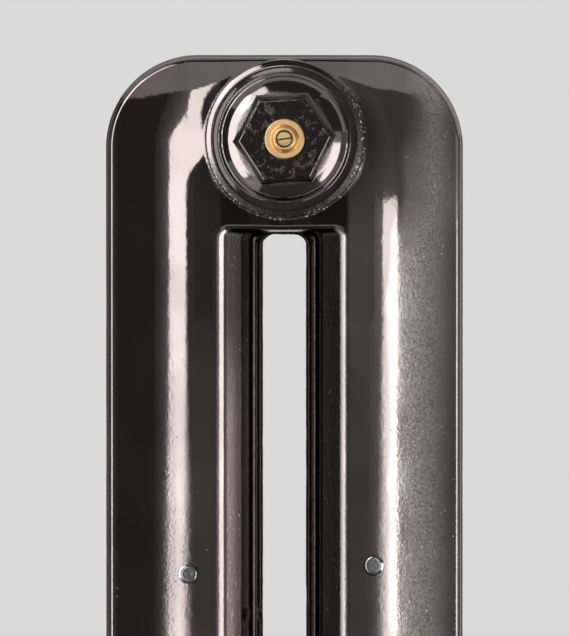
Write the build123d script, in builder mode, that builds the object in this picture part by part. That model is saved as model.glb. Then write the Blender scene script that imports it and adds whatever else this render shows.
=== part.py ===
"""Two-column cast-iron radiator: sections screwed together on nipples, hex end plugs and a brass air vent.

Frame: X across the two columns, Y along the radiator, Z up, origin on the floor under the middle.
The end with the air vent faces -Y. All lengths are in millimetres.
"""

import os

from build123d import *

# Casting
SECTION_COUNT = 3  # two ends with legs, the rest between them
HUB_CENTRES = 500.0  # upper hub axis to lower hub axis
HUB_TO_EDGE = 34.0  # hub axis to the nearest outer edge of the casting
FOOT_DROP = 92.0  # floor to the underside of the casting
BODY_DEPTH = 145.0  # over both columns, rim included
CORNER_RADIUS = 37.5
SHELL_THICKNESS = 46.0  # one section's columns, along the radiator
SHELL_ROUNDING = 17.5  # outer edge of the columns
MATING_CHAMFER = 10.0  # the same edge where two sections face each other

# Slot between the columns and the recess round it
SLOT_WIDTH = 18.0
SLOT_TO_HUB = 39.0  # hub axis to the end of the slot
SLOT_CORNER = 5.0
FLASH_WIDTH = 4.0  # thin web left round the slot at the parting line
FLASH_THICKNESS = 5.0
RECESS_WIDTH = 50.0  # at the face of the columns
RECESS_TO_HUB = 35.0  # hub axis to the end of the recess
RECESS_ROUNDING = 5.0

# Hubs that join the sections
HUB_LENGTH = 60.0  # hub face to hub face, machined, so the sections' pitch too
HUB_RADIUS = 32.7
HUB_BORE = 20.5  # radius inside the pipe thread

# Waterways inside the casting
WATERWAY_SPACING = 84.0
WATERWAY_WIDTH = 48.0
COLUMN_WALL = 4.5
HEADER_SIZE = (26.0, 28.0)  # height and length of the passage from hub to waterway

# Legs of the two end sections
LEG_WIDTH = 38.0  # at the casting's underside
FOOT_WIDTH = 34.0
FOOT_LENGTH = 34.0  # along the radiator
ARCH_CORNER = 14.0

# Core supports, cast in, whose heads show on the end sections
PIN_RADIUS = 3.9
PIN_SPACING = 75.5
PIN_OFFSET = 1.4  # the pair stands this far left of the middle
PIN_TO_HUB = 174.0
PIN_STAGGER = 3.5  # the left one is lower by this much
PIN_STANDOUT = 0.6

# Nipples
NIPPLE_LENGTH = 44.0
NIPPLE_FLATS = 30.0  # hexagonal hole that the joining key turns
THREAD_CLEARANCE = 0.05  # radial, in every screwed fit

# Plugs and bushes
PLUG_SHANK = 16.0
FLANGE_RADIUS = 26.4
FLANGE_HEIGHT = 4.5
HEX_FLATS = 35.0
HEX_HEIGHT = 8.5
HEX_TURN = 3.3  # degrees that the plugs stand off level
VALVE_BORE = 9.3  # radius inside a half-inch pipe thread

# Air vent, heights counted out from the plug's face
VENT_SHANK_RADIUS = 4.5
VENT_SHANK = 12.0
COLLAR_RADIUS = 8.0
COLLAR_HEIGHT = 2.6
NOSE_RADIUS = 5.4
NOSE_HEIGHT = 2.4
MOUTH_RADIUS = 3.55
MOUTH_DEPTH = 0.9
PASSAGE_RADIUS = 1.0
SEAT_WALL = 3.0  # shank left below the seat

# Bleed screw and its seal
SCREW_RADIUS = 2.85
SCREW_INSET = 0.2  # screw's face below the nose
SCREW_SLOT = (0.55, 1.0)  # width and depth
SCREW_SLOT_TURN = 7.8  # degrees
SEAL_RADIUS = 2.6
SEAL_LENGTH = 1.6

# Places that follow from the sizes above
BODY_HEIGHT = HUB_CENTRES + 2 * HUB_TO_EDGE
BODY_MIDDLE = FOOT_DROP + BODY_HEIGHT / 2
LOWER_HUB = FOOT_DROP + HUB_TO_EDGE
UPPER_HUB = LOWER_HUB + HUB_CENTRES
HUB_HEIGHTS = (LOWER_HUB, UPPER_HUB)
SLOT_LENGTH = HUB_CENTRES - 2 * SLOT_TO_HUB
RECESS_LENGTH = HUB_CENTRES - 2 * RECESS_TO_HUB
SHELL_HALF = SHELL_THICKNESS / 2
ARCH_TOP = BODY_DEPTH / 2 - LEG_WIDTH
ARCH_FOOT = BODY_DEPTH / 2 - FOOT_WIDTH
PIN_HEIGHT = UPPER_HUB - PIN_TO_HUB
STACK_LENGTH = SECTION_COUNT * HUB_LENGTH
SCREWED_RADIUS = HUB_BORE - THREAD_CLEARANCE
HEAD_HEIGHT = FLANGE_HEIGHT + HEX_HEIGHT
NOSE_TOP = COLLAR_HEIGHT + NOSE_HEIGHT
SEAT_HEIGHT = SEAT_WALL - VENT_SHANK
STACK_CENTRE = NOSE_TOP / 2  # the vent stands out at one end only
FRONT_FACE = STACK_CENTRE - STACK_LENGTH / 2
REAR_FACE = STACK_CENTRE + STACK_LENGTH / 2
SECTION_CENTRES = [FRONT_FACE + HUB_LENGTH / 2 + i * HUB_LENGTH for i in range(SECTION_COUNT)]
JOINT_CENTRES = [centre + HUB_LENGTH / 2 for centre in SECTION_CENTRES[:-1]]


def facing(y, z, outward=-1):
    """Plane square to the radiator's length, with its normal along -Y or +Y and its own y upward."""
    return Plane(origin=(0, y, z), x_dir=(-outward, 0, 0), z_dir=(0, outward, 0))


def beside(plane):
    """Plane through a turned piece's axis: x is the radius, y the height along the axis."""
    return Plane(origin=plane.origin, x_dir=plane.x_dir, z_dir=plane.x_dir.cross(plane.z_dir))


def axis_of(plane):
    return Axis(plane.origin, plane.z_dir)


def save(part, name):
    part.label = name
    export_step(part, f"parts/{name}.step")


def recess_profile(side):
    """Cross-section of the recess on one face: rounded shoulders that slope in to the flash."""
    mouth = side * SHELL_HALF
    floor = side * FLASH_THICKNESS / 2
    shoulder = RECESS_WIDTH / 2
    root = SLOT_WIDTH / 2 + FLASH_WIDTH
    with BuildLine() as profile:
        walls = [
            FilletPolyline(
                (hand * (shoulder + RECESS_ROUNDING), mouth), (hand * shoulder, mouth), (hand * root, floor),
                radius=RECESS_ROUNDING,
            )
            for hand in (-1, 1)
        ]
        Line(walls[0] @ 0, walls[1] @ 0)
        Line(walls[0] @ 1, walls[1] @ 1)
    return profile.line


def shell(y, foot, mating_sides):
    """Rounded plate from which a section is cut, down to the height of its foot."""
    height = FOOT_DROP + BODY_HEIGHT - foot
    with BuildPart() as plate:
        with BuildSketch(facing(y, foot + height / 2)):
            RectangleRounded(BODY_DEPTH, height, CORNER_RADIUS)
        extrude(amount=SHELL_HALF, both=True)
        for side in (-1, 1):
            edges = plate.faces().sort_by(Axis((0, 0, 0), (0, side, 0)))[-1].edges()
            if side in mating_sides:
                chamfer(edges, MATING_CHAMFER)
            else:
                fillet(edges, SHELL_ROUNDING)
    return plate.part


def casting(y, outward=0):
    """One hollow section. An end section, whose outward side is -1 or +1, has legs."""
    middle = facing(y, BODY_MIDDLE)
    with BuildPart() as section:
        if outward:
            add(shell(y, -2 * CORNER_RADIUS, [-outward]))
            with BuildSketch(facing(y, 0)):
                with BuildLine():
                    arch = FilletPolyline(
                        (-ARCH_FOOT, 0), (-ARCH_TOP, FOOT_DROP), (ARCH_TOP, FOOT_DROP), (ARCH_FOOT, 0),
                        radius=ARCH_CORNER,
                    )
                    Line(arch @ 0, arch @ 1)
                make_face()
            extrude(amount=SHELL_HALF, both=True, mode=Mode.SUBTRACT)
            split(bisect_by=Plane.XY, keep=Keep.TOP)
            for side in (-1, 1):
                with BuildSketch(Plane((0, y, 0), x_dir=(0, side, 0), z_dir=(side, 0, 0))):
                    Polygon(
                        (SHELL_HALF, FOOT_DROP), (SHELL_HALF, 0), (FOOT_LENGTH / 2, 0), align=None,
                    )
                extrude(amount=BODY_DEPTH, both=True, mode=Mode.SUBTRACT)
        else:
            add(shell(y, FOOT_DROP, [-1, 1]))
        with BuildSketch(Plane((0, y, BODY_MIDDLE))):
            for side in (-1, 1):
                add(recess_profile(side))
                make_face()
        extrude(amount=RECESS_LENGTH / 2, both=True, mode=Mode.SUBTRACT)
        with BuildSketch(middle):
            RectangleRounded(SLOT_WIDTH, SLOT_LENGTH, SLOT_CORNER)
        extrude(amount=SHELL_HALF, both=True, mode=Mode.SUBTRACT)
        for height in HUB_HEIGHTS:
            with BuildSketch(facing(y, height)):
                Circle(HUB_RADIUS)
            extrude(amount=HUB_LENGTH / 2, both=True)
        with BuildSketch(Plane((0, y, LOWER_HUB))):
            with GridLocations(WATERWAY_SPACING, 0, 2, 1):
                SlotOverall(WATERWAY_WIDTH, SHELL_THICKNESS - 2 * COLUMN_WALL)
        extrude(amount=HUB_CENTRES, mode=Mode.SUBTRACT)
        for height in HUB_HEIGHTS:
            with BuildSketch(facing(y, height)):
                Circle(HUB_BORE)
            extrude(amount=HUB_LENGTH / 2, both=True, mode=Mode.SUBTRACT)
            with BuildSketch(facing(y, height)):
                Rectangle(WATERWAY_SPACING, HEADER_SIZE[0])
            extrude(amount=HEADER_SIZE[1] / 2, both=True, mode=Mode.SUBTRACT)
    return section.part


def core_pins(ends):
    """Heads of the core supports on the end sections, given as (section centre, outward side)."""
    left = (-PIN_SPACING / 2 - PIN_OFFSET, -PIN_STAGGER / 2)
    right = (PIN_SPACING / 2 - PIN_OFFSET, PIN_STAGGER / 2)
    with BuildPart() as pins:
        for y, outward in ends:
            with BuildSketch(facing(y, PIN_HEIGHT, outward).offset(SHELL_HALF)):
                with Locations(left, right):
                    Circle(PIN_RADIUS)
            extrude(amount=PIN_STANDOUT)
    return pins.part


def nipples(y):
    """Upper and lower hollow nipple of one joint, broached for the hexagonal joining key."""
    with BuildPart() as pair:
        for height in HUB_HEIGHTS:
            with BuildSketch(facing(y, height)):
                Circle(SCREWED_RADIUS)
                RegularPolygon(NIPPLE_FLATS / 2, 6, major_radius=False, mode=Mode.SUBTRACT)
            extrude(amount=NIPPLE_LENGTH / 2, both=True)
    return pair.part


def hex_head(plane):
    """Screwed shank, round flange and hexagon: what every plug and bush has."""
    with BuildPart() as head:
        with BuildSketch(plane):
            Circle(SCREWED_RADIUS)
        extrude(amount=-PLUG_SHANK)
        with BuildSketch(plane):
            Circle(FLANGE_RADIUS)
        extrude(amount=FLANGE_HEIGHT)
        with BuildSketch(plane.offset(FLANGE_HEIGHT)):
            RegularPolygon(HEX_FLATS / 2, 6, major_radius=False, rotation=HEX_TURN)
        extrude(amount=HEX_HEIGHT)
    return head.part


def vent_plug(plane):
    with BuildPart() as plug:
        add(hex_head(plane))
        with BuildSketch(plane.offset(HEAD_HEIGHT)):
            Circle(VENT_SHANK_RADIUS + THREAD_CLEARANCE)
        extrude(amount=-HEAD_HEIGHT - PLUG_SHANK, mode=Mode.SUBTRACT)
    return plug.part


def valve_bushes(planes):
    with BuildPart() as bushes:
        for plane in planes:
            add(hex_head(plane))
            with BuildSketch(plane.offset(HEAD_HEIGHT)):
                Circle(VALVE_BORE)
            extrude(amount=-HEAD_HEIGHT - PLUG_SHANK, mode=Mode.SUBTRACT)
    return bushes.part


def vent_body(plane):
    """Brass body: shank, collar and tapered nose, bored for the screw down to its seat."""
    screw_bore = SCREW_RADIUS + THREAD_CLEARANCE
    with BuildPart() as body:
        with BuildSketch(beside(plane)):
            with BuildLine():
                Polyline(
                    (PASSAGE_RADIUS, -VENT_SHANK),
                    (VENT_SHANK_RADIUS, -VENT_SHANK),
                    (VENT_SHANK_RADIUS, 0),
                    (COLLAR_RADIUS, 0),
                    (COLLAR_RADIUS, COLLAR_HEIGHT),
                    (NOSE_RADIUS, COLLAR_HEIGHT),
                    (NOSE_RADIUS, NOSE_TOP),
                    (MOUTH_RADIUS, NOSE_TOP),
                    (MOUTH_RADIUS, NOSE_TOP - MOUTH_DEPTH),
                    (screw_bore, NOSE_TOP - MOUTH_DEPTH),
                    (screw_bore, SEAT_HEIGHT),
                    (PASSAGE_RADIUS, SEAT_HEIGHT),
                    close=True,
                )
            make_face()
        revolve(axis=axis_of(plane))
    return body.part


def bleed_screw(plane):
    face = plane.offset(NOSE_TOP - SCREW_INSET)
    with BuildPart() as screw:
        with BuildSketch(plane.offset(SEAT_HEIGHT + SEAL_LENGTH)):
            Circle(SCREW_RADIUS)
        extrude(amount=NOSE_TOP - SCREW_INSET - SEAT_HEIGHT - SEAL_LENGTH)
        with BuildSketch(face):
            Rectangle(2 * SCREW_RADIUS, SCREW_SLOT[0], rotation=SCREW_SLOT_TURN)
        extrude(amount=-SCREW_SLOT[1], mode=Mode.SUBTRACT)
    return screw.part


def seat_seal(plane):
    """Soft disc that the screw presses on the vent's seat."""
    with BuildPart() as seal:
        with BuildSketch(plane.offset(SEAT_HEIGHT)):
            Circle(SEAL_RADIUS)
        extrude(amount=SEAL_LENGTH)
    return seal.part


UPPER_FRONT = facing(FRONT_FACE, UPPER_HUB)
LOWER_FRONT = facing(FRONT_FACE, LOWER_HUB)
UPPER_REAR = facing(REAR_FACE, UPPER_HUB, 1)
LOWER_REAR = facing(REAR_FACE, LOWER_HUB, 1)
PLUG_FACE = UPPER_FRONT.offset(HEAD_HEIGHT)

os.makedirs("parts", exist_ok=True)
save(casting(SECTION_CENTRES[0], -1), "front_section")
for number, centre in enumerate(SECTION_CENTRES[1:-1], 1):
    save(casting(centre), f"middle_section_{number}")
save(casting(SECTION_CENTRES[-1], 1), "rear_section")
save(core_pins(((SECTION_CENTRES[0], -1), (SECTION_CENTRES[-1], 1))), "core_pins")
for number, centre in enumerate(JOINT_CENTRES, 1):
    save(nipples(centre), f"joint_{number}_nipples")
save(vent_plug(UPPER_FRONT), "vent_plug")
save(hex_head(UPPER_REAR), "blank_plug")
save(valve_bushes((LOWER_FRONT, LOWER_REAR)), "valve_bushes")
save(vent_body(PLUG_FACE), "vent_body")
save(bleed_screw(PLUG_FACE), "bleed_screw")
save(seat_seal(PLUG_FACE), "seat_seal")
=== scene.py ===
"""Polished cast-iron column radiator: cast sections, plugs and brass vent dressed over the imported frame.

Lengths in the shape functions are millimetres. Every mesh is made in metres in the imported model's frame.
"""

import math

import bpy
import numpy as np
from mathutils import Matrix, Vector


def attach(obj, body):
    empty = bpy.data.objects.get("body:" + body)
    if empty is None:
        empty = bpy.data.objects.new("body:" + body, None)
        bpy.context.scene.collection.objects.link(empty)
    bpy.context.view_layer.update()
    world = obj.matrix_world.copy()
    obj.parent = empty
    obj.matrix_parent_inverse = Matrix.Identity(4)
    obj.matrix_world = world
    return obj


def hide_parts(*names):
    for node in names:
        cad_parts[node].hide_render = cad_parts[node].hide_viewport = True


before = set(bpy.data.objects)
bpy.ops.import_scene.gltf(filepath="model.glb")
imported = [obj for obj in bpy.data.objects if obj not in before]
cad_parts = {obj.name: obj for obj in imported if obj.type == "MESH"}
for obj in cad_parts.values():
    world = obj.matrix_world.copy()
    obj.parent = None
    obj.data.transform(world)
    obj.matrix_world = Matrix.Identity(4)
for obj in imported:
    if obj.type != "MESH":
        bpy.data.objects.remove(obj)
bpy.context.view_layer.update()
MM = 0.001

# Sizes shared with the solids
HALF_DEPTH = 72.5
TOP = 660.0
UNDERSIDE = 92.0
CORNER = 37.5
SHELL_HALF = 23.0
HUB_HALF = 30.0
HUB_RADIUS = 32.7
LOWER_HUB, UPPER_HUB = 126.0, 626.0
BODY_MIDDLE = (LOWER_HUB + UPPER_HUB) / 2
SLOT_HALF = (9.0, 211.0)
FRONT_FACE, REAR_FACE = -87.5, 92.5
SECTIONS = (-57.5, 2.5, 62.5)
HEAD_HEIGHT = 13.0
PINS = ((-39.15, 450.25), (36.35, 453.75))
PIN_RADIUS = 3.9
ARCH_FOOT, ARCH_TOP, ARCH_CORNER = 38.5, 34.5, 14.0  # half widths between the legs, and their upper corner
FLASH_HALF = 2.5  # web round the slot at the parting line
SLOT_CORNER = 5.0
HEX_TURN = 3.3  # degrees that the plugs stand off level
SCREW_TURN = 7.8  # degrees that the bleed screw's slot stands off level

# Cast form that only shows here
RIM = 1.1  # parting-line fin outside the shell
CREST = 26.3  # shell's edge to the crest of a column
MISMATCH = 0.8  # outer half of the mould stood this far left
MISMATCH_STEP = (2.0, 10.0)  # depths between which the face moves over
CROWN = 75.0  # radius of the crowned faces
CROWN_REACH = 14.0  # past the crest, where the crown runs on straight toward the slot
CROWN_SCALE = 0.96  # brings the tilted face back to true distances
CREST_TURN = UPPER_HUB - 4 - BODY_MIDDLE  # where the crests start to bend over the hubs
VALLEY = 4.0  # rounding where the two sides meet between hub and slot
EDGE = 2.0  # outer edge of the crown
PAD = (1.2, 8.0)  # swell of the left crest toward the slot, along a column and beside a hub
PAD_SIDE = (6.0, 26.0)  # distances left of the middle between which it rises
PAD_REACH = (14.0, 7.5)  # how far it runs on over the hub and back along the column
BELOW = 150.0  # forms that the floor cuts off run on this far
LEG_TAPER = 6.0  # fall of a leg's faces down to the floor
LEG_RIDGE = 12.0  # rounding along a leg's crest
ARCH_EDGE = 6.0
FOOT_EDGE = 1.5
BOSS_INSET, BOSS_DROP, BOSS_EDGE = 1.3, 1.8, 1.0  # rough boss inside the turned lip of a hub
BOSS_FILLET = 0.5
SHOULDER = 1.6  # edge of the recess round the slot
RECESS_STEP = (13.0, 16.3)  # depth and half width where the recess turns steep
RECESS_SLOPE = 40.0  # degrees, of its outer part
RECESS_STEEP = 0.29  # widening with depth of its inner part
RECESS_SCALE = (0.6, 0.96)  # bring the outer and the inner part back to true distances
RECESS_END = (0.6, 2.4)  # past the slot's end at the web, and farther at the face
RECESS_RUN_ON = 1.4  # the ends go on widening this far past the face
RECESS_CORNER = 3.5
SLOT_MARGIN = (1.5, 1.2)  # opening in the shell round the slot, behind the web's edge
SLOT_MARGIN_CORNER = 6.0
FLAW_HEIGHT, FLAW_HALF, FLAW_DEPTH = 432.5, 2.6, 1.1  # small flaw in the slot's left edge
WAVES = 9
LONG_WAVE, SHORT_WAVE = 9.0, 2.2  # unevenness along the parting line
SHORT_SHARE, WAVE_LIMIT = 0.6, 1.2
EVEN_BEHIND = -1.2  # a strip's profile is even from here inward
SEAM_FADE = 6.0  # a closed strip is even this near to its ends
RIM_ROUGH, FLASH_ROUGH = 0.05, 0.14

# Turned and forged forms, heights counted out from the hub's face or the plug's face
RING_RADIUS, RING_INNER, RING_HEIGHT, RING_SLOPE = 26.8, 25.4, 0.75, 0.25  # rim of a plug's flange
DOME_RADIUS, DOME_CENTRE = 42.0, 31.6
DOME_EDGE, DOME_SHOULDER, DOME_SLOPE = 23.4, 3.3, 0.8  # radius and height of its edge, slope of its skirt
HEX_FACE, HEX_DRAFT = 15.95, 0.2  # half across the flats at the face, and the taper of the flats
HEX_CHAMFER, CHAMFER_TILT = 15.35, (0.5, 0.866)
SHANK_RADIUS, SHANK_HALF = 20.4, 8.0
THREAD_PITCH, THREAD_HEIGHT = 1.814, 0.5
COUNTERSINK = 1.2
VENT_BORE, VALVE_BORE = 4.6, 9.3
COLLAR_RADIUS, COLLAR_HEIGHT = 8.0, 1.75
NOSE_FOOT, NOSE_TAPER, NOSE_TOP = 5.6, 0.34, 5.0
VENT_SHANK, VENT_SHANK_HALF = 4.5, 6.0
MOUTH_RADIUS, MOUTH_FLOOR = 3.5, 4.1
SCREW_HOLE, SEAT_HEIGHT = 2.92, -8.9
OUTLET_TURN, OUTLET_HEIGHT, OUTLET_RADIUS, OUTLET_START = 249, 3.1, 0.72, 3.2
SCREW_RADIUS, SCREW_TIP = 2.85, -7.4
SCREW_DOME, SCREW_DOME_CENTRE = 16.0, 11.2
SCREW_SLOT_HALF, SCREW_SLOT_FLOOR = 0.3, 3.8
PIN_FLAT = (2.95, -0.35)  # radius and outward offset of the ground flat on a pin head
PIN_HEIGHT = 0.6
PIN_LEAN = 0.087  # the flat falls toward the slot with the face round it
PIN_BEVEL, PIN_BEVEL_ROUND = 0.66, 0.12
PIN_MARK = (1.2, 0.3, 0.007)  # radius, width and depth of the faint ring on it
PIN_RINGS = (0.02, 0.4, 0.8, 1.0, 1.2, 1.4, 1.7, 2.1, 2.4, 2.6, 2.8, 3.0, 3.2, 3.4, 3.6, 3.75)
PIN_SIDE = ((3.85, 0.03), (PIN_RADIUS, 0.12), (PIN_RADIUS, 2.2))  # radius, and drop below the bevel


def rbox(x, z, half_x, half_z, radius):
    """Distance to a rounded rectangle."""
    a, b = np.abs(x) - half_x + radius, np.abs(z) - half_z + radius
    return np.minimum(np.maximum(a, b), 0) + np.hypot(np.maximum(a, 0), np.maximum(b, 0)) - radius


def both(a, b, radius):
    """Where two forms overlap, with the outer edge rounded."""
    edge = np.hypot(np.maximum(radius + a, 0), np.maximum(radius + b, 0))
    return np.minimum(-radius, np.maximum(a, b)) + edge


def joined(a, b, radius):
    """Two forms together, with a fillet where they meet."""
    fillet = np.hypot(np.maximum(radius - a, 0), np.maximum(radius - b, 0))
    return np.maximum(radius, np.minimum(a, b)) - fillet


def smooth(value, low, high):
    """0 below the low value, 1 above the high one, and an even step between them."""
    t = np.clip((value - low) / (high - low), 0, 1)
    return t * t * (3 - 2 * t)


def gradient(form, p, step=0.02):
    """Unit direction in which a form rises at some points, and how steeply."""
    rows = []
    for axis in range(3):
        d = np.zeros(3)
        d[axis] = step
        rows.append(form(*(p + d).T) - form(*(p - d).T))
    g = np.stack(rows, 1) / (2 * step)
    slope = np.linalg.norm(g, axis=1)
    return g / np.maximum(slope, 1e-9)[:, None], slope


def surface(form, xs, ys, zs):
    """Quads on the zero of a distance form, one vertex to each crossed cell, and their normals."""
    grid = [np.asarray(v, float) for v in (xs, ys, zs)]
    v = form(*np.meshgrid(*grid, indexing="ij"))
    cells = tuple(n - 1 for n in v.shape)
    lower, upper = slice(0, -1), slice(1, None)
    total, count = np.zeros(cells + (3,)), np.zeros(cells)
    crossings = []
    for axis in range(3):
        a, b = np.moveaxis(v, axis, 0)[:-1], np.moveaxis(v, axis, 0)[1:]
        crossed = (a < 0) != (b < 0)
        t = np.where(crossed, a / np.where(crossed, a - b, 1), 0)
        points = np.meshgrid(*[grid[k][:-1] if k == axis else grid[k] for k in range(3)], indexing="ij")
        t, crossed, rising = (np.moveaxis(w, 0, axis) for w in (t, crossed, a < 0))
        steps = np.diff(grid[axis]).reshape([-1 if k == axis else 1 for k in range(3)])
        points[axis] = points[axis] + t * steps
        points = np.stack(points, -1) * crossed[..., None]
        first, second = (k for k in range(3) if k != axis)
        for i in (lower, upper):
            for j in (lower, upper):
                cut = [slice(None)] * 3
                cut[first], cut[second] = i, j
                total += points[tuple(cut)]
                count += crossed[tuple(cut)]
        crossings.append((crossed, rising))
    active = count > 0
    index = np.full(cells, -1)
    index[active] = np.arange(active.sum())
    verts = total[active] / count[active][:, None]
    faces = []
    for axis, (crossed, rising) in enumerate(crossings):
        u, w = (axis + 1) % 3, (axis + 2) % 3
        inner = [slice(None)] * 3
        for k in (u, w):
            inner[k] = slice(1, -1)
        where = np.argwhere(crossed[tuple(inner)])
        up = rising[tuple(inner)][tuple(where.T)]
        corners = []
        for du, dw in ((0, 0), (1, 0), (1, 1), (0, 1)):
            at = where.copy()
            at[:, u] += du
            at[:, w] += dw
            corners.append(index[tuple(at.T)])
        quads = np.stack(corners, 1)
        faces.append(np.where(up[:, None], quads, quads[:, ::-1]))
    for _ in range(4):
        g, slope = gradient(form, verts)
        verts = verts - np.clip(form(*verts.T) / np.maximum(slope, 0.2), -0.8, 0.8)[:, None] * g
    return verts, np.concatenate(faces), gradient(form, verts)[0]


def swept(rows, closed):
    """Quads over a grid of points, rows by columns, with averaged normals. Closed rows meet end to end."""
    n, m = rows.shape[:2]
    verts = rows.reshape(-1, 3)
    i, j = np.meshgrid(np.arange(n if closed else n - 1), np.arange(m - 1), indexing="ij")
    i, j = i.ravel(), j.ravel()
    k, q = (i + 1) % n, j + 1
    faces = np.stack((i * m + j, k * m + j, k * m + q, i * m + q), 1)
    cross = np.cross(verts[faces[:, 2]] - verts[faces[:, 0]], verts[faces[:, 3]] - verts[faces[:, 1]])
    normals = np.zeros_like(verts)
    for c in range(4):
        np.add.at(normals, faces[:, c], cross)
    return verts, faces, normals / np.maximum(np.linalg.norm(normals, axis=1, keepdims=True), 1e-12)


def merged(parts):
    """Several parts, each of points, faces and normals, as one."""
    start, verts, faces, normals = 0, [], [], []
    for v, f, n in parts:
        verts.append(v)
        faces.append(f + start)
        normals.append(n)
        start += len(v)
    return np.concatenate(verts), np.concatenate(faces), np.concatenate(normals)


def mesh(name, part):
    """A Blender mesh in metres, smooth shaded along the given normals."""
    verts, faces, normals = part
    made = bpy.data.meshes.new(name)
    made.vertices.add(len(verts))
    made.vertices.foreach_set("co", (verts * MM).astype(np.float32).ravel())
    made.loops.add(faces.size)
    made.loops.foreach_set("vertex_index", faces.astype(np.int32).ravel())
    made.polygons.add(len(faces))
    made.polygons.foreach_set("loop_start", np.arange(0, faces.size, 4, dtype=np.int32))
    made.polygons.foreach_set("loop_total", np.full(len(faces), 4, dtype=np.int32))
    made.update(calc_edges=True)
    made.polygons.foreach_set("use_smooth", np.ones(len(faces), dtype=bool))
    made.normals_split_custom_set_from_vertices(normals.tolist())
    return made


def lines(*spans):
    """Grid lines from (start, end, spacing) spans laid end to end."""
    parts = [np.linspace(a, b, max(2, int(round((b - a) / s)) + 1))[:-1] for a, b, s in spans]
    return np.concatenate(parts + [[spans[-1][1]]])


def mirrored(half):
    """Grid lines that start at 0, and their mirror images."""
    return np.concatenate((-half[:0:-1], half))


def wander(t, seed, scale):
    """Smooth seeded unevenness along a line, about -1 to 1."""
    rng = np.random.default_rng(seed)
    rates, phases = rng.uniform(0.6, 5.0, WAVES), rng.uniform(0, 6.3, WAVES)
    waves = sum(np.sin(t / scale * rate + phase) / rate**0.5 for rate, phase in zip(rates, phases))
    return waves / WAVES**0.5


# Cast sections
def arch(x, z):
    """The opening between the legs of an end section."""
    half_width = ARCH_FOOT - (ARCH_FOOT - ARCH_TOP) * np.clip(z, 0, UNDERSIDE) / UNDERSIDE
    return rbox(x, z + BELOW, half_width, UNDERSIDE + BELOW, ARCH_CORNER)


def outline(x, z, legs):
    """A section seen end on, with its slot filled; the legs run on below the floor."""
    if legs:
        half_height = (TOP + BELOW) / 2
        return rbox(x, z - (TOP - half_height), HALF_DEPTH, half_height, CORNER)
    return rbox(x, z - BODY_MIDDLE, HALF_DEPTH, (TOP - UNDERSIDE) / 2, CORNER)


def crowned(past, reach=CREST):
    """How far the face has fallen at a distance past the crest: an arc, straight on beyond its reach."""
    past = np.maximum(past, 0)
    arc = CROWN - np.sqrt(CROWN**2 - np.minimum(past, reach) ** 2)
    return arc + np.maximum(past - reach, 0) * reach / math.sqrt(CROWN**2 - reach**2)


def section_form(legs):
    """Outside of one cast section, the parting-line strips and the hubs' turned faces left out."""

    def form(x, y, z):
        depth = np.abs(y)
        face_x = x + MISMATCH * smooth(-y, *MISMATCH_STEP)
        side, across, depth_here = outline(x, z, legs) + RIM, outline(face_x, z, legs) + RIM, depth
        if legs:
            inner = RIM - arch(face_x, z)
            depth_here = depth + LEG_TAPER * np.clip((UNDERSIDE - z) / UNDERSIDE, 0, 1)
            ridge = np.maximum(LEG_RIDGE - np.abs(across - inner), 0) ** 2 / (4 * LEG_RIDGE)
            across = np.maximum(across, inner) + ridge
            side = both(side, RIM - arch(x, z), ARCH_EDGE)
        past_turn = np.abs(z - BODY_MIDDLE) - CREST_TURN
        round_hub = np.hypot(np.hypot(face_x, VALLEY), np.maximum(past_turn, 0))
        beside_hub = np.exp(-((past_turn / np.where(past_turn > 0, *PAD_REACH)) ** 2))
        pad = smooth(-face_x, *PAD_SIDE) * (PAD[0] + PAD[1] * beside_hub)
        toward_slot = HALF_DEPTH - RIM - CREST - pad - round_hub
        fall = crowned(across + CREST) + crowned(toward_slot, CROWN_REACH)
        body = both(CROWN_SCALE * (depth_here - SHELL_HALF + fall), side, EDGE)
        for height in (LOWER_HUB, UPPER_HUB):
            reach = np.hypot(x, z - height)
            boss = both(reach - HUB_RADIUS + BOSS_INSET, depth - HUB_HALF + BOSS_DROP, BOSS_EDGE)
            body = joined(body, boss, BOSS_FILLET)
        rise = np.clip((depth - FLASH_HALF) / (SHELL_HALF - FLASH_HALF), 0, RECESS_RUN_ON)
        flare = 1 / math.tan(math.radians(RECESS_SLOPE))
        outer = depth > RECESS_STEP[0]
        half_width = RECESS_STEP[1] + (depth - RECESS_STEP[0]) * np.where(outer, flare, RECESS_STEEP)
        half_length = SLOT_HALF[1] + RECESS_END[0] + RECESS_END[1] * rise
        recess = rbox(face_x, z - BODY_MIDDLE, half_width, half_length, RECESS_CORNER)
        recess = both(np.where(outer, *RECESS_SCALE) * recess, FLASH_HALF - depth, FLASH_HALF)
        body = both(body, -recess, SHOULDER)
        half_width, half_length = (half + margin for half, margin in zip(SLOT_HALF, SLOT_MARGIN))
        body = np.maximum(body, -rbox(x, z - BODY_MIDDLE, half_width, half_length, SLOT_MARGIN_CORNER))
        return both(body, -z, FOOT_EDGE) if legs else body

    return form


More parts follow.
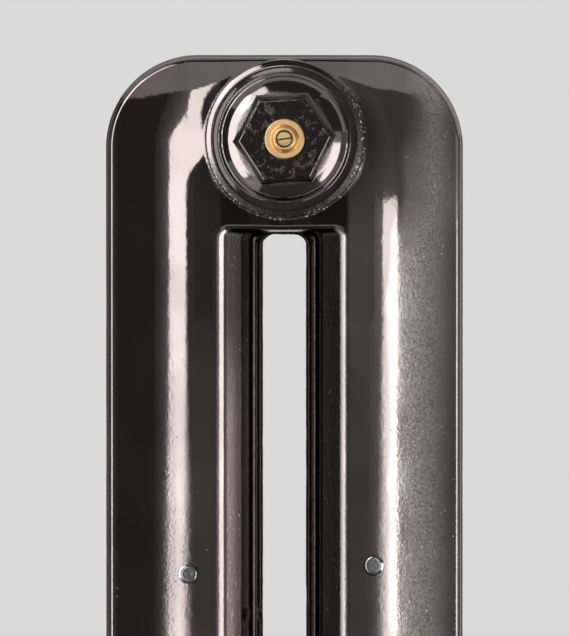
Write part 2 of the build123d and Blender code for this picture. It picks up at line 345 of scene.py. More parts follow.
def rim_path(legs):
    """Points and outward directions along the parting line outside the shell."""
    turn = np.linspace(0, math.pi / 2, 44)
    cx, cz = HALF_DEPTH - CORNER, TOP - CORNER
    bend = np.stack((cx + CORNER * np.cos(turn), cz + CORNER * np.sin(turn), np.cos(turn), np.sin(turn)), 1)
    rise = np.linspace(0.0 if legs else UNDERSIDE + CORNER, cz, 150)[:-1]
    side = np.stack((np.full_like(rise, HALF_DEPTH), rise, np.ones_like(rise), np.zeros_like(rise)), 1)
    over = np.linspace(cx, 0, 24)[1:]
    top = np.stack((over, np.full_like(over, TOP), np.zeros_like(over), np.ones_like(over)), 1)
    half = np.concatenate((side, bend, top))
    if not legs:
        flip, shift = np.array((1, -1, 1, -1)), np.array((0, 2 * BODY_MIDDLE, 0, 0))
        half = np.concatenate((top[::-1] * flip + shift, bend[:0:-1] * flip + shift, half))
    other = half[::-1][1:] * np.array((-1, 1, -1, 1))
    return np.concatenate((half, other if legs else other[:-1]))


def strip(path, profile, closed, seed, rough):
    """A profile of (outward, along Y) points swept along a path, its outer edge left uneven."""
    length = np.cumsum(np.r_[0, np.hypot(*np.diff(path[:, :2], axis=0).T)])
    waves = wander(length, seed, LONG_WAVE) + SHORT_SHARE * wander(length, seed + 1, SHORT_WAVE)
    uneven = np.minimum(rough * np.clip(waves, -WAVE_LIMIT, WAVE_LIMIT), 0)
    if closed:
        uneven = uneven * np.clip(np.minimum(length, length[-1] - length) / SEAM_FADE, 0, 1)
    x, z, out_x, out_z = path.T
    rows = []
    for out, y in profile:
        reach = out + uneven if out > EVEN_BEHIND else out
        rows.append(np.stack((x + out_x * reach, np.full(len(path), y), z + out_z * reach), 1))
    return swept(np.stack(rows, 1), closed)


def two_sided(half):
    """A profile of (outward, along Y) points and its mirror image."""
    return half + tuple((out, -y) for out, y in half[::-1])


RIM_PROFILE = two_sided(
    ((-5.0, 5.6), (-2.0, 3.8), (-1.5, 3.1), (-1.0, 2.42), (-0.5, 1.74), (-0.12, 1.2), (0, 0.8), (0, 0.3))
)
FLASH_PROFILE = two_sided(
    ((-4.5, 3.4), (-3.4, 2.75), (-2.4, 2.45), (-1.2, 2.35), (-0.5, 2.1), (-0.1, 1.3), (0, 0.4))
)
HUB_PROFILE = (
    ((19.0, -0.02), (26.9, -0.02), (27.1, -0.3), (27.2, -3.0), (27.8, -3.6), (28.4, -3.0), (28.55, -1.2))
    + ((28.7, -0.5), (28.95, -0.12), (29.3, -0.02), (29.7, -0.14), (30.2, -0.42), (30.7, -0.7), (31.2, -0.98))
    + ((31.65, -1.24), (31.9, -1.55), (32.0, -2.2), (32.0, -5.0), (32.3, -9.5))
)


def slot_path():
    """Points round the slot, with directions toward its middle."""
    (hx, hz), r = SLOT_HALF, SLOT_CORNER
    turn = np.linspace(0, math.pi / 2, 12)
    rise = np.linspace(0, hz - r, 170)[:-1]
    side = np.stack((np.full_like(rise, hx), rise, -np.ones_like(rise), 0 * rise), 1)
    bend = np.stack((hx - r + r * np.cos(turn), hz - r + r * np.sin(turn), -np.cos(turn), -np.sin(turn)), 1)
    over = np.linspace(hx - r, 0, 6)[1:]
    end = np.stack((over, np.full_like(over, hz), 0 * over, 0 * over - 1), 1)
    quarter = np.concatenate((side, bend, end))
    half = np.concatenate((quarter, quarter[::-1][1:] * np.array((-1, 1, -1, 1))))
    loop = np.concatenate((half, half[::-1][1:-1] * np.array((1, -1, 1, -1))))
    loop[:, 1] += BODY_MIDDLE
    return loop


def notched(path):
    """The slot's edge with the small flaw that the casting has in it."""
    path = path.copy()
    left = path[:, 0] < 1 - SLOT_HALF[0]
    flaw = np.exp(-(((path[:, 1] - FLAW_HEIGHT) / FLAW_HALF) ** 4))
    path[left, 0] -= FLAW_DEPTH * flaw[left]
    return path


def lathe(profile, segments=96):
    """Profile of (radius, height) turned about the Y axis, heights counted along -Y."""
    turn = np.linspace(0, 2 * math.pi, segments, endpoint=False)
    rows = [np.stack((r * np.cos(turn), np.full(segments, -h), r * np.sin(turn)), 1) for r, h in profile]
    return swept(np.stack(rows, 1)[:, ::-1], True)


def turned(part, half_turn, at):
    """A part moved to its place, first turned to face the rear if need be."""
    v, f, n = part
    spin = np.array((-1, -1, 1)) if half_turn else np.ones(3)
    return v * spin + np.array(at), f, n * spin


def section_mesh(name, legs, seed):
    """One cast section with its fin, the web round its slot, and the machined faces and lips of its hubs."""
    ys = mirrored(lines((0, 11, 1.3), (11, 31.2, 0.75)))
    if legs:
        xs = mirrored(lines((0, 9, 3), (9, 20, 1.1), (20, 40, 0.75), (40, 72, 0.55)))
        zs = lines((-1, 6, 1.0), (6, 66, 4.0), (66, 180, 1.2), (180, 570, 14), (570, 616, 0.9),
                   (616, 660.2, 0.55))
    else:
        xs = mirrored(lines((0, 9, 3), (9, 20, 1.1), (20, 38, 0.9), (38, 66, 1.6), (66, 72, 0.6)))
        zs = lines((91, 180, 1.3), (180, 570, 14), (570, 634, 1.2), (634, 660.2, 0.9))
    parts = [surface(section_form(legs), xs, ys, zs)]
    parts.append(strip(rim_path(legs), RIM_PROFILE, not legs, seed, RIM_ROUGH))
    parts.append(strip(notched(slot_path()), FLASH_PROFILE, True, seed + 5, FLASH_ROUGH))
    ring = lathe(HUB_PROFILE)
    for height in (LOWER_HUB, UPPER_HUB):
        parts.append(turned(ring, False, (0, -HUB_HALF, height)))
        parts.append(turned(ring, True, (0, HUB_HALF, height)))
    return mesh(name, merged(parts))


# Plugs, bushes, vent
def thread(r, h, angle, bore):
    """A threaded hole whose crests stand inside its bore."""
    wave = np.abs(((h / THREAD_PITCH - angle / (2 * math.pi)) % 1) - 0.5) * 2
    return bore - THREAD_HEIGHT + THREAD_HEIGHT * wave - r


def plug_form(bore, threaded):
    """A plug or bush: shank, flange with a domed middle, and hexagon."""
    sides = [math.radians(30 + 60 * k + HEX_TURN) for k in range(6)]

    def form(x, y, z):
        h, r = -y, np.hypot(x, z)
        rim = 0.97 * (h - RING_HEIGHT - RING_SLOPE * (RING_RADIUS - np.maximum(r, RING_INNER)))
        ring = both(both(r - RING_RADIUS, rim, 0.35), -h, 0.2)
        skirt = 0.78 * (r - DOME_EDGE - DOME_SLOPE * (DOME_SHOULDER - h))
        dome = np.maximum(both(np.hypot(r, h + DOME_CENTRE) - DOME_RADIUS, skirt, 0.3), -h)
        flats = np.max([x * math.cos(a) + z * math.sin(a) for a in sides], axis=0)
        below = HEAD_HEIGHT - h
        hexagon = both(0.98 * (flats - HEX_FACE - HEX_DRAFT * below), -below, 0.1)
        hexagon = both(hexagon, CHAMFER_TILT[0] * (flats - HEX_CHAMFER) - CHAMFER_TILT[1] * below, 0.1)
        head = joined(joined(ring, dome, 0.4), np.maximum(hexagon, -h), 0.6)
        body = np.minimum(head, both(r - SHANK_RADIUS, np.abs(h + SHANK_HALF) - SHANK_HALF, 0.4))
        if threaded:
            hole = thread(r, h, np.arctan2(z, x), bore)
            return both(body, np.maximum(hole, bore + COUNTERSINK - r - COUNTERSINK * below), 0.15)
        return np.maximum(body, bore - r) if bore else body

    return form


def plug_mesh(name, bore, threaded=False):
    across = mirrored(lines((0, 19.2, 0.32), (19.2, 27.2, 0.4)))
    ys = lines((-13.6, 0.4, 0.5), (0.4, 16.5, 0.6 if threaded else 2.0))
    return mesh(name, surface(plug_form(bore, threaded), across, ys, across))


def vent_form(x, y, z):
    """The vent's brass body: shank, collar and tapered nose, with the screw's hole and the side outlet."""
    h, r = -y, np.hypot(x, z)
    collar = both(both(r - COLLAR_RADIUS, h - COLLAR_HEIGHT, 0.45), -h, 0.1)
    nose = both(0.95 * (r - NOSE_FOOT + NOSE_TAPER * (h - COLLAR_HEIGHT)), h - NOSE_TOP, 0.4)
    body = np.maximum(joined(collar, nose, 0.2), -h)
    body = np.minimum(body, both(r - VENT_SHANK, np.abs(h + VENT_SHANK_HALF) - VENT_SHANK_HALF, 0.3))
    mouth = both(r - MOUTH_RADIUS, MOUTH_FLOOR - h, 0.2)
    body = both(body, -mouth, 0.2)
    body = np.maximum(body, -np.maximum(r - SCREW_HOLE, SEAT_HEIGHT - h))
    a = math.radians(OUTLET_TURN)
    along = x * math.cos(a) + z * math.sin(a)
    off = np.hypot(z * math.cos(a) - x * math.sin(a), h - OUTLET_HEIGHT)
    return both(body, -np.maximum(off - OUTLET_RADIUS, OUTLET_START - along), 0.12)


def screw_form(x, y, z):
    """The bleed screw, with a slightly domed and slotted head."""
    h, r = -y, np.hypot(x, z)
    head = both(r - SCREW_RADIUS, np.hypot(r, h + SCREW_DOME_CENTRE) - SCREW_DOME, 0.22)
    body = both(head, SCREW_TIP - h, 0.2)
    a = math.radians(SCREW_TURN)
    off = np.abs(z * math.cos(a) - x * math.sin(a))
    return both(body, -np.maximum(off - SCREW_SLOT_HALF, SCREW_SLOT_FLOOR - h), 0.07)


def pin_head(side):
    """Ground head of a core support in the face on that side of the slot, height 0 at that face."""
    turn = np.linspace(0, 2 * math.pi, 64, endpoint=False)
    rows = []
    for r, drop in tuple((r, 0) for r in PIN_RINGS) + PIN_SIDE:
        x, z = r * np.cos(turn), r * np.sin(turn)
        past = np.hypot(side * x - PIN_FLAT[1], z) - PIN_FLAT[0]
        height = PIN_HEIGHT + PIN_LEAN * side * x - PIN_BEVEL * (past + np.hypot(past, PIN_BEVEL_ROUND)) / 2
        height -= drop + PIN_MARK[2] * math.exp(-(((r - PIN_MARK[0]) / PIN_MARK[1]) ** 2))
        rows.append(np.stack((x, -height, z), 1))
    return swept(np.stack(rows, 1)[:, ::-1], True)


# Near-black ring sunk round each pin head: painted shade in the gap.
PIN_GAP = lathe([(3.7, -0.9), (3.95, -0.45), (4.25, -0.3), (4.7, -0.8)], 64)


# Materials: places in them are in metres, in each piece's own frame


def node_material(name, base, metallic, roughness):
    """A material with plain values, and the shader that nodes may be wired to."""
    mat = bpy.data.materials.new(name)
    mat.use_nodes = True
    shader = mat.node_tree.nodes["Principled BSDF"]
    shader.inputs["Base Color"].default_value = (*base, 1)
    shader.inputs["Metallic"].default_value = metallic
    shader.inputs["Roughness"].default_value = roughness
    return mat, shader


class Nodes:
    """Shorthand for wiring one material."""

    def __init__(self, mat):
        self.tree = mat.node_tree

    def place(self):
        """Where a point lies in its piece."""
        return self.tree.nodes.new("ShaderNodeTexCoord").outputs["Object"]

    def apart(self, where):
        """The X, Y and Z of a place."""
        node = self.tree.nodes.new("ShaderNodeSeparateXYZ")
        self.link(where, node.inputs["Vector"])
        return node.outputs

    def link(self, a, b):
        self.tree.links.new(a, b)

    def math(self, op, a, b=0.0, clamp=False):
        node = self.tree.nodes.new("ShaderNodeMath")
        node.operation, node.use_clamp = op, clamp
        for socket, value in zip(node.inputs, (a, b)):
            if hasattr(value, "links"):
                self.link(value, socket)
            else:
                socket.default_value = value
        return node.outputs[0]

    def ramp(self, value, low, high, out_low=0.0, out_high=1.0):
        """An even step between two values, which may fall."""
        node = self.tree.nodes.new("ShaderNodeMapRange")
        node.interpolation_type = "SMOOTHSTEP"
        self.link(value, node.inputs["Value"])
        for key, v in (("From Min", low), ("From Max", high), ("To Min", out_low), ("To Max", out_high)):
            node.inputs[key].default_value = v
        return node.outputs[0]

    def noise(self, where, scale, detail=3.0, rough=0.55):
        node = self.tree.nodes.new("ShaderNodeTexNoise")
        self.link(where, node.inputs["Vector"])
        node.inputs["Scale"].default_value = scale
        node.inputs["Detail"].default_value = detail
        node.inputs["Roughness"].default_value = rough
        return node.outputs["Fac"]

    def away(self, x, z):
        """Distance from a piece's axis along Y."""
        return self.math("SQRT", self.math("ADD", self.math("POWER", x, 2.0), self.math("POWER", z, 2.0)))

    def hub_lip(self, x, z, height):
        """The gritty lip round a hub at that height, the outer edge of it where glints are painted, and the
        groove inside it.
        """
        reach = self.away(x, self.math("SUBTRACT", z, height))
        lip = self.math("MULTIPLY", self.ramp(reach, 0.0288, 0.0293), self.ramp(reach, 0.0331, 0.0321))
        below = self.math("MULTIPLY", self.math("SUBTRACT", height, z), 0.83)
        gritty = self.ramp(self.math("ADD", self.math("MULTIPLY", x, 0.55), below), -0.016, 0.006, 0.08, 1.0)
        edge = self.math("MULTIPLY", self.ramp(reach, 0.0306, 0.0312), self.ramp(reach, 0.0333, 0.0328))
        groove = self.ramp(reach, 0.0292, 0.0287)
        return self.math("MULTIPLY", lip, gritty), self.math("MULTIPLY", edge, gritty), groove

    def bump(self, height, distance, strength=1.0, normal=None):
        node = self.tree.nodes.new("ShaderNodeBump")
        node.inputs["Strength"].default_value = strength
        node.inputs["Distance"].default_value = distance
        self.link(height, node.inputs["Height"])
        if normal is not None:
            self.link(normal, node.inputs["Normal"])
        return node.outputs["Normal"]

    def mix(self, factor, a, b):
        node = self.tree.nodes.new("ShaderNodeMix")
        node.data_type = "RGBA"
        self.link(factor, node.inputs["Factor"])
        for key, colour in (("A", a), ("B", b)):
            if hasattr(colour, "links"):
                self.link(colour, node.inputs[key])
            else:
                node.inputs[key].default_value = (*colour, 1)
        return node.outputs["Result"]


def polished_iron():
    """Burnished, clear-lacquered iron: near mirror on the crowns, sandy where it was left as cast, with
    painted light and shade in places.
    """
    mat, shader = node_material("polished_iron", (0.17, 0.158, 0.15), 1.0, 0.15)
    n = Nodes(mat)
    where = n.place()
    x, _, z = n.apart(where)
    blotch = n.noise(where, 38, 2.0, 0.5)
    wobble = n.math("MULTIPLY", n.math("SUBTRACT", blotch, 0.5), 0.006)
    edge = n.math("SUBTRACT", n.math("ADD", x, wobble), n.ramp(z, 0.585, 0.605, 0.0, 0.005))
    outer = n.math("SUBTRACT", x, n.ramp(z, 0.570, 0.605, 0.0, 0.002))
    flank = n.math("MULTIPLY", n.ramp(edge, 0.0420, 0.0560), n.ramp(outer, 0.0715, 0.0575))
    # Painted highlight: a pale band along the inner edge of the right column's flank, fading out toward the
    # top.
    painted_glow = n.math("MULTIPLY", n.ramp(edge, 0.0410, 0.0465), n.ramp(x, 0.062, 0.046))
    painted_glow = n.math("MULTIPLY", painted_glow, n.ramp(z, 0.640, 0.605))
    side = n.math("MULTIPLY", n.ramp(x, 0.0245, 0.0270), n.ramp(z, 0.630, 0.600, 0.55, 1.0))
    side = n.math("MULTIPLY", side, n.ramp(z, 0.510, 0.560, 0.65, 1.0))
    left = n.math("MULTIPLY", n.ramp(x, -0.042, -0.037), n.ramp(x, -0.0245, -0.0270))
    left = n.math("MULTIPLY", left, n.ramp(z, 0.575, 0.500, 0.45, 1.0))
    brown = n.ramp(x, -0.0672, -0.0700)
    slot = n.ramp(n.math("ABSOLUTE", x), 0.0245, 0.0225)
    below_hub = n.math("MULTIPLY", n.ramp(z, 0.592, 0.588), n.ramp(z, 0.160, 0.164))
    worn = n.ramp(z, 0.62, 0.44, 0.0, 0.32)
    inside = n.math("MULTIPLY", slot, below_hub)
    sandy = n.math("MAXIMUM", n.math("MULTIPLY", flank, 0.8), n.math("MULTIPLY", inside, 0.2))
    lips, edges, grooves = zip(*[n.hub_lip(x, z, height * MM) for height in (LOWER_HUB, UPPER_HUB)])
    gritty = n.math("MAXIMUM", *lips)
    speckled = n.math("MAXIMUM", sandy, n.math("MULTIPLY", inside, 0.6))
    grain_area = n.math("MAXIMUM", speckled, n.math("MAXIMUM", worn, gritty))
    seam = n.math("MULTIPLY", n.ramp(n.math("ABSOLUTE", x), 0.0148, 0.0132), below_hub)
    groove = n.math("MAXIMUM", *grooves)
    # Painted shade in the hub grooves and along the bottom of the recess by the slot; the gritty lips are
    # darkened too.
    shade_and_dark_grit = n.math("MAXIMUM", n.math("MULTIPLY", seam, 0.8), n.math("MULTIPLY", groove, 0.8))
    shade_and_dark_grit = n.math("MAXIMUM", shade_and_dark_grit, n.math("MULTIPLY", gritty, 0.65))
    # Painted glints: pale specks scattered along the outer edge of each hub's lip.
    painted_glints = n.math("MULTIPLY", n.math("MAXIMUM", *edges), n.ramp(n.noise(where, 850, 2.0, 0.6), 0.57, 0.66))
    grain = n.noise(where, 900, 3.0, 0.7)
    pits = n.ramp(n.noise(where, 620, 2.0, 0.6), 0.68, 0.78)
    streak = n.noise(where, 120, 5.0, 0.65)
    rough = n.math("ADD", n.ramp(streak, 0.3, 0.75, 0.03, 0.065), n.math("MULTIPLY", sandy, 0.28))
    n.link(n.math("ADD", rough, n.math("MULTIPLY", pits, 0.2), clamp=True), shader.inputs["Roughness"])
    tone = n.mix(n.ramp(blotch, 0.3, 0.7), (0.188, 0.167, 0.164), (0.157, 0.139, 0.134))
    # Lighter on the right column's outer flank: painted reflection of the light from the right, over the
    # sandy as-cast finish there.
    tone = n.mix(flank, tone, (0.298, 0.264, 0.255))
    tone = n.mix(painted_glow, tone, (0.42, 0.385, 0.37))
    mottle = n.math("MULTIPLY", flank, n.ramp(n.noise(where, 1000, 2.0, 0.75), 0.46, 0.62, 0.0, 0.65))
    tone = n.mix(mottle, tone, (0.11, 0.096, 0.088))
    shaded = n.math("MULTIPLY", inside, n.ramp(x, -0.012, 0.0, 0.42, 0.9))
    tone = n.mix(shaded, tone, (0.050, 0.045, 0.041))
    # Painted light on the left wall of the recess, paler toward the shoulder and lower down.
    painted_wall_light = n.math("MULTIPLY", n.ramp(x, -0.0185, -0.0222, 0.16, 0.7), n.ramp(x, -0.0142, -0.0150))
    painted_wall_light = n.math("MULTIPLY", n.math("MULTIPLY", painted_wall_light, inside), n.ramp(z, 0.560, 0.505, 0.1, 1.0))
    tone = n.mix(painted_wall_light, tone, (0.76, 0.67, 0.65))
    tone = n.mix(shade_and_dark_grit, tone, (0.016, 0.014, 0.012))
    n.link(n.mix(painted_glints, tone, (0.52, 0.47, 0.44)), shader.inputs["Base Color"])
    metallic = 1.0
    browned = n.math("MAXIMUM", left, brown)
    for place, share in ((side, 0.20), (flank, 0.15), (browned, 0.12), (groove, 0.6), (painted_glints, 0.7)):
        metallic = n.math("SUBTRACT", metallic, n.math("MULTIPLY", place, share), clamp=True)
    n.link(metallic, shader.inputs["Metallic"])
    wave = n.bump(n.noise(where, 26, 2.0, 0.5), 0.0006, 0.12)
    peel = n.bump(n.noise(where, 260, 2.0, 0.5), 0.00006, 0.35, wave)
    height = n.math("MULTIPLY", n.math("SUBTRACT", grain, n.math("MULTIPLY", pits, 0.6)),
                    n.ramp(grain_area, 0, 1, 0.05, 1.0))
    height = n.math("ADD", height, n.math("MULTIPLY", n.math("MULTIPLY", gritty, grain), 2.0))
    n.link(n.bump(height, 0.00014, 1.0, peel), shader.inputs["Normal"])
    return mat


def plug_iron():
    """The plugs: polished flange and a dark, gritty hexagon face."""
    mat, shader = node_material("plug_iron", (0.15, 0.14, 0.133), 1.0, 0.14)
    n = Nodes(mat)
    where = n.place()
    y = n.apart(where)["Y"]
    face = n.ramp(y, -0.0122, -0.0127)
    root = n.math("MULTIPLY", n.ramp(y, -0.0052, -0.0066), n.ramp(y, -0.0100, -0.0086))
    grit = n.noise(where, 1100, 3.0, 0.7)
    lumps = n.ramp(n.noise(where, 430, 2.0, 0.5), 0.55, 0.63)
    lumps = n.math("MULTIPLY", lumps, n.ramp(grit, 0.2, 0.7, 0.5, 1.0))
    n.link(n.ramp(grit, 0.3, 0.8, 0.06, 0.14), shader.inputs["Roughness"])
    n.link(n.mix(face, (0.167, 0.150, 0.146), (0.085, 0.076, 0.074)), shader.inputs["Base Color"])
    peel = n.bump(n.noise(where, 240, 2.0, 0.5), 0.00005, 0.3)
    height = n.math("ADD", n.math("MULTIPLY", lumps, face), n.math("MULTIPLY", grit, root))
    n.link(n.bump(height, 0.00045, 0.95, peel), shader.inputs["Normal"])
    return mat


def turned_brass(name, base, shade_reach, shade_top):
    """Turned brass with fine rings from the lathe, and painted shade in the recesses round its axis."""
    mat, shader = node_material(name, base, 1.0, 0.3)
    n = Nodes(mat)
    where = n.place()
    x, y, z = n.apart(where)
    reach = n.away(x, z)
    rings = n.math("SINE", n.math("MULTIPLY", reach, 9000.0))
    cloud = n.noise(where, 420, 2.0, 0.5)
    # Painted shade: darker near the axis and below a given height, inside the mouth and the screw's gap.
    recess_shade = n.math("MULTIPLY", n.ramp(reach, shade_reach + 0.0001, shade_reach - 0.0001),
                   n.ramp(y, shade_top - 0.00015, shade_top + 0.00015))
    n.link(n.ramp(cloud, 0.3, 0.7, 0.34, 0.42), shader.inputs["Roughness"])
    tone = n.mix(n.ramp(cloud, 0.35, 0.75), base, tuple(c * 0.9 for c in base))
    n.link(n.mix(recess_shade, tone, (0.16, 0.095, 0.04)), shader.inputs["Base Color"])
    n.link(n.bump(rings, 0.000004, 0.1), shader.inputs["Normal"])
    return mat


def plain_metal(name, base, roughness, scale, metallic=1.0):
    """Bare metal, clouded at one scale."""
    mat, shader = node_material(name, base, metallic, roughness)
    n = Nodes(mat)
    where = n.place()
    cloud = n.noise(where, scale, 4.0, 0.6)
    n.link(n.ramp(cloud, 0.3, 0.7, roughness * 0.7, roughness * 1.3), shader.inputs["Roughness"])
    n.link(n.mix(cloud, base, tuple(c * 0.7 for c in base)), shader.inputs["Base Color"])
    n.link(n.bump(cloud, 0.00004, 0.5), shader.inputs["Normal"])
    return mat


def rubber():
    mat, shader = node_material("seal_rubber", (0.02, 0.02, 0.02), 0.0, 0.6)
    n = Nodes(mat)
    where = n.place()
    n.link(n.bump(n.noise(where, 2500, 3.0, 0.6), 0.00002, 0.6), shader.inputs["Normal"])
    return mat


def piece(name, data, mat, body, nodes, at=(0, 0, 0), half_turn=False):
    """A dressed piece that rides on a body and takes the place of some of its nodes."""
    obj = bpy.data.objects.new(name, data)
    bpy.context.scene.collection.objects.link(obj)
    obj.location = [v * MM for v in at]
    obj.rotation_euler = (0, 0, math.pi if half_turn else 0)
    if not data.materials:
        data.materials.append(mat)
    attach(obj, body)
    if nodes:
        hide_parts(*nodes)


IRON, PLUG = polished_iron(), plug_iron()
BRASS = turned_brass("vent_brass", (0.84, 0.565, 0.265), 0.00355, -0.0047)
SCREW_BRASS = turned_brass("screw_brass", (0.83, 0.61, 0.34), 0.004, -0.0043)
STEEL = plain_metal("pin_steel", (0.235, 0.243, 0.252), 0.12, 700, 0.9)
# The pin gaps' near-black metal is painted shade.
GAP_SHADE = plain_metal("pin_gap", (0.03, 0.028, 0.026), 0.5, 900)
NIPPLE = plain_metal("nipple_iron", (0.2, 0.19, 0.18), 0.4, 300)

end_mesh = section_mesh("end_section", True, 11)
piece("front_casting", end_mesh, IRON, "radiator", ["front_section"], (0, SECTIONS[0], 0))
piece("rear_casting", end_mesh, IRON, "radiator", ["rear_section"], (0, SECTIONS[2], 0), True)
middle_mesh = section_mesh("middle_section", False, 23)
piece("middle_casting", middle_mesh, IRON, "radiator", ["middle_section_1"], (0, SECTIONS[1], 0))

piece("vent_plug_head", plug_mesh("vent_plug", VENT_BORE), PLUG, "radiator", ["vent_plug"],
      (0, FRONT_FACE, UPPER_HUB))
piece("blank_plug_head", plug_mesh("blank_plug", 0), PLUG, "radiator", ["blank_plug"],
      (0, REAR_FACE, UPPER_HUB), True)
bush_mesh = plug_mesh("valve_bush", VALVE_BORE, True)
piece("front_valve_bush", bush_mesh, PLUG, "radiator", ["valve_bushes"],
      (0, FRONT_FACE, LOWER_HUB))
piece("rear_valve_bush", bush_mesh, PLUG, "radiator", ["valve_bushes"],
      (0, REAR_FACE, LOWER_HUB), True)

VENT_AT = (0, FRONT_FACE - HEAD_HEIGHT, UPPER_HUB)
fine = mirrored(lines((0, 8.4, 0.16)))
vent_lines = lines((-5.3, 0.3, 0.16), (0.3, 12.4, 0.8))
vent_mesh = mesh("vent_body", surface(vent_form, fine, vent_lines, fine))
piece("vent_fitting", vent_mesh, BRASS, "radiator", ["vent_body"], VENT_AT)
finer = mirrored(lines((0, 3.0, 0.1)))
screw_lines = lines((-5.0, -3.4, 0.08), (-3.4, 7.8, 0.6))
screw_mesh = mesh("bleed_screw", surface(screw_form, finer, screw_lines, finer))
piece("vent_screw", screw_mesh, SCREW_BRASS, "screw", ["bleed_screw"], VENT_AT)

heads, gaps = [], []
for centre, half_turn in ((SECTIONS[0], False), (SECTIONS[2], True)):
    for x, z in PINS:
        face = SHELL_HALF if half_turn else -SHELL_HALF
        at = (-x if half_turn else x, centre + face, z)
        heads.append(turned(pin_head(math.copysign(1, x)), half_turn, at))
        gaps.append(turned(PIN_GAP, half_turn, at))
piece("core_pin_heads", mesh("core_pin_heads", merged(heads)), STEEL, "radiator", ["core_pins"])
piece("core_pin_gaps", mesh("core_pin_gaps", merged(gaps)), GAP_SHADE, "radiator", [])

for node, mat in (("joint_1_nipples", NIPPLE), ("joint_2_nipples", NIPPLE), ("seat_seal", rubber())):
    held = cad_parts[node].data.materials
    held.clear()
    held.append(mat)

# Stage: pale floor and surroundings, dark flags round the camera, soft panels of light
PALE = 0.701
FLOOR_TONE = 0.72
FLOOR_RADIUS, FLOOR_SIDES = 1.6, 96
DARK_CARD = (0.12, 0.11, 0.112)
CARD_RADIUS, CARD_STEPS = 1.5, 8
LAMP_TINT = (1, 0.965, 0.95)
HUB = UPPER_HUB * MM
world = bpy.data.worlds.new("studio")
bpy.context.scene.world = world
world.use_nodes = True
world.node_tree.nodes["Background"].inputs["Color"].default_value = (PALE, PALE, PALE, 1)
world.node_tree.nodes["Background"].inputs["Strength"].default_value = 1.0


def stage_mesh(name, verts, faces, colour):
    """A matt piece of the studio, in metres."""
    data = bpy.data.meshes.new(name)
    data.from_pydata(verts, [], faces)
    obj = bpy.data.objects.new(name, data)
    bpy.context.scene.collection.objects.link(obj)
    mat, shader = node_material(name, colour, 0.0, 1.0)
    shader.inputs["Specular IOR Level"].default_value = 0.0
    data.materials.append(mat)
    return obj


def flag(name, verts, faces, colour):
    """A dark card that only reflections see."""
    obj = stage_mesh(name, verts, faces, colour)
    obj.visible_camera = obj.visible_diffuse = obj.visible_shadow = False


def around(azimuth, radius, height):
    """A point round the Z axis; azimuth 0 is the camera's side, positive to its right."""
    a = math.radians(azimuth)
    return (radius * math.sin(a), -radius * math.cos(a), height)


def curved_flag(name, start, end, low, high, colour=DARK_CARD):
    """An upright card bent round the Z axis, between two azimuths and two heights."""
    row = CARD_STEPS + 1
    verts = [around(a, CARD_RADIUS, z) for z in (low, high) for a in np.linspace(start, end, row)]
    flag(name, verts, [(k, k + 1, k + row + 1, k + row) for k in range(CARD_STEPS)], colour)


def flat_flag(name, x, y, z):
    """A card square to one axis: two of its spans have an extent, the third is one number."""
    spans = [v if isinstance(v, tuple) else (v, v) for v in (x, y, z)]
    wide = [k for k in range(3) if spans[k][0] != spans[k][1]]
    verts = []
    for i, j in ((0, 0), (1, 0), (1, 1), (0, 1)):
        corner = [span[0] for span in spans]
        corner[wide[0]], corner[wide[1]] = spans[wide[0]][i], spans[wide[1]][j]
        verts.append(corner)
    flag(name, verts, [(0, 1, 2, 3)], DARK_CARD)


def lamp(name, width, height, radiance, location):
    """A soft rectangle of light that the camera doesn't see."""
    data = bpy.data.lights.new(name, "AREA")
    data.shape = "RECTANGLE"
    data.size, data.size_y = width, height
    data.energy = radiance * math.pi * width * height
    data.color = LAMP_TINT
    obj = bpy.data.objects.new(name, data)
    bpy.context.scene.collection.objects.link(obj)
    obj.location = location
    obj.visible_camera = False
    return obj


def panel(name, start, end, low, high, radius, radiance):
    """An upright lamp that faces the Z axis, between two azimuths and two heights."""
    middle, width = (start + end) / 2, 2 * radius * math.sin(math.radians(end - start) / 2)
    obj = lamp(name, width, high - low, radiance, around(middle, radius, (low + high) / 2))
    obj.rotation_euler = (math.pi / 2, 0, math.radians(middle))


def leaning_panel(name, turn, lean, radius, width, height, radiance):
    """A lamp that faces the upper hub, off the camera's axis by the lean, turned up from the right."""
    t, off = math.radians(turn), math.radians(lean)
    toward = Vector((math.sin(off) * math.cos(t), -math.cos(off), math.sin(off) * math.sin(t)))
    obj = lamp(name, width, height, radiance, Vector((0, FRONT_FACE * MM, HUB)) + toward * radius)
    outward = Vector((math.cos(off) * math.cos(t), math.sin(off), math.cos(off) * math.sin(t)))
    obj.rotation_euler = Matrix((outward.cross(toward), outward, toward)).transposed().to_euler()


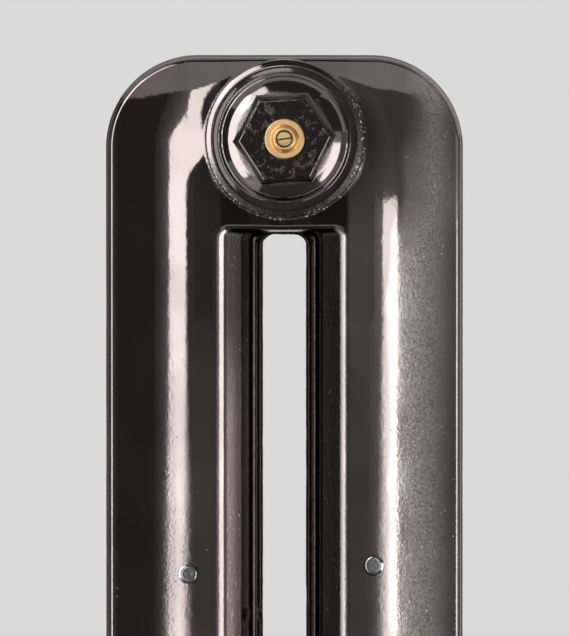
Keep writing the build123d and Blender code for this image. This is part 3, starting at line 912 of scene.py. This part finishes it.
floor = [around(360 * k / FLOOR_SIDES, FLOOR_RADIUS, 0) for k in range(FLOOR_SIDES)]
stage_mesh("floor", floor, [tuple(range(FLOOR_SIDES))], (FLOOR_TONE, FLOOR_TONE, FLOOR_TONE))
curved_flag("flag_front", -44, 43, 0.02, 1.16)
curved_flag("flag_left", -160, -69, 0.02, 1.5)
curved_flag("flag_right", 70, 125, 0.02, 0.80, colour=(0.40, 0.37, 0.36))
curved_flag("flag_right_high", 45, 85, 0.80, 2.0)
flat_flag("flag_roof", (-0.5, 1.0), (-1.18, -0.15), HUB + 1.2)
flat_flag("flag_low", (-0.3, 0.5), (-0.75, -0.1), 0.02)
flat_flag("flag_camera", (0.003, 0.13), -0.25, (0.600, 0.713))
flat_flag("flag_plug", (-0.0205, 0.0205), -0.16, (0.550, 0.651))
panel("light_front", -3.85, 4.4, 0.2, 1.09, 1.3, 5.0)
FADES = ((-5.2, -3.85, 0.45), (-7, -5.2, 0.28), (-9, -7, 0.17), (-12, -9, 0.09))
for step, (start, end, radiance) in enumerate(FADES):
    panel("light_front_fade_%d" % step, start, end, 0.2, 1.1, 1.35, radiance)
panel("light_left", -62, -46, 0.05, 1.35, 0.75, 5.0)
panel("light_right", 46, 62, 0.05, 0.585, 0.65, 5.0)
leaning_panel("light_left_high", 130, 57, 0.85, 0.55, 0.24, 4.0)

camera = bpy.data.cameras.new("camera")
camera_object = bpy.data.objects.new("camera", camera)
bpy.context.scene.collection.objects.link(camera_object)
bpy.context.scene.camera = camera_object
DISTANCE = 3.0  # camera to the front section's parting plane
PIXEL = 0.4065  # millimetres to a pixel on that plane
CAMERA_HEIGHT = 0.632
PICTURE_HEIGHT = 636  # pixels
TOP_ROW = 55  # where the radiator's top lies in the picture
SENSOR = 36
aim_height = (TOP - (PICTURE_HEIGHT / 2 - TOP_ROW) * PIXEL) * MM
camera_object.location = (0, SECTIONS[0] * MM - DISTANCE, CAMERA_HEIGHT)
camera_object.rotation_euler = (math.pi / 2 - math.atan((CAMERA_HEIGHT - aim_height) / DISTANCE), 0, 0)
camera.sensor_width = SENSOR
camera.lens = SENSOR * DISTANCE / (PICTURE_HEIGHT * PIXEL * MM)
camera.clip_end = 50

bpy.context.scene.view_settings.view_transform = "Standard"
